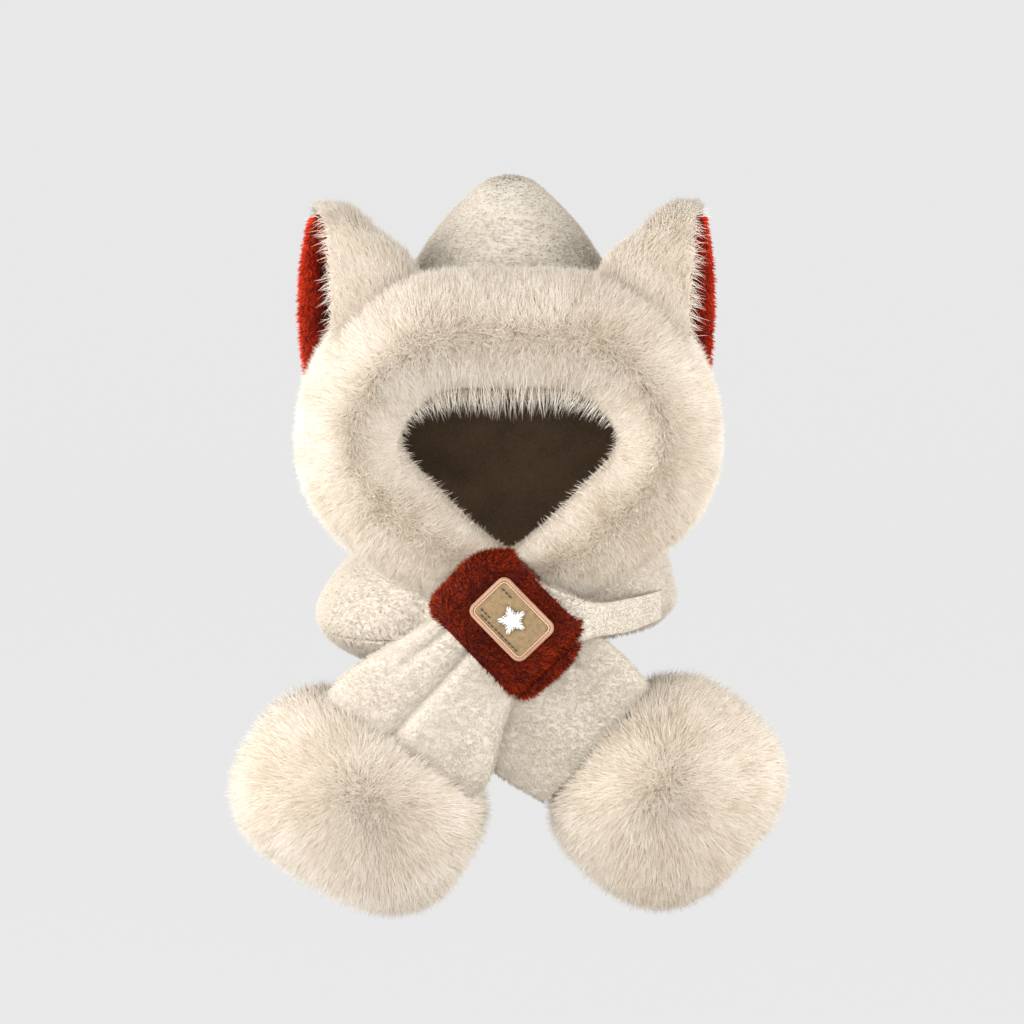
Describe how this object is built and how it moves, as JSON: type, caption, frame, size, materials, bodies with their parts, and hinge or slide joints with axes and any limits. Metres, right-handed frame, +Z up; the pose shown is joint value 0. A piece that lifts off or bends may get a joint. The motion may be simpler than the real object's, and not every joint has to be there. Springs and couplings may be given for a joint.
{
  "type": "animal ear hood with scarf",
  "caption": "Plush hood with a deep fur ruff, cupped animal ears and a collar, and scarf tails that cross through a loop and end in fur paws.",
  "frame": {"origin": "inside of the crown's top on the middle line, where the head holds the hood up", "axes": "+Z up, the face opening looks along -Y, +X to the viewer's right"},
  "size_m": [0.3962, 0.29, 0.5236],
  "materials": {
    "short_pile": "short pile plush, soft and matt",
    "deep_fur": "long pile faux fur, soft sheen",
    "lining": "smooth brown lining cloth",
    "red_plush": "short pile red plush",
    "patch_weave": "coarse plain weave",
    "patch_stitch": "satin stitched thread",
    "felt": "pressed wool felt"
  },
  "bodies": {
    "root": {"hood_crown": "short_pile", "hood_lining": "lining", "face_ruff": "deep_fur", "ear_left_fur": "deep_fur", "ear_left_lining": "red_plush", "ear_right_fur": "deep_fur", "ear_right_lining": "red_plush", "neck_collar": "short_pile", "scarf_tail_front": "short_pile", "scarf_tail_back": "short_pile", "paw_left": "deep_fur", "paw_right": "deep_fur", "scarf_loop": "red_plush", "patch_field": "patch_weave", "patch_border": "patch_stitch", "patch_motif": "felt"}
  },
  "joints": []
}
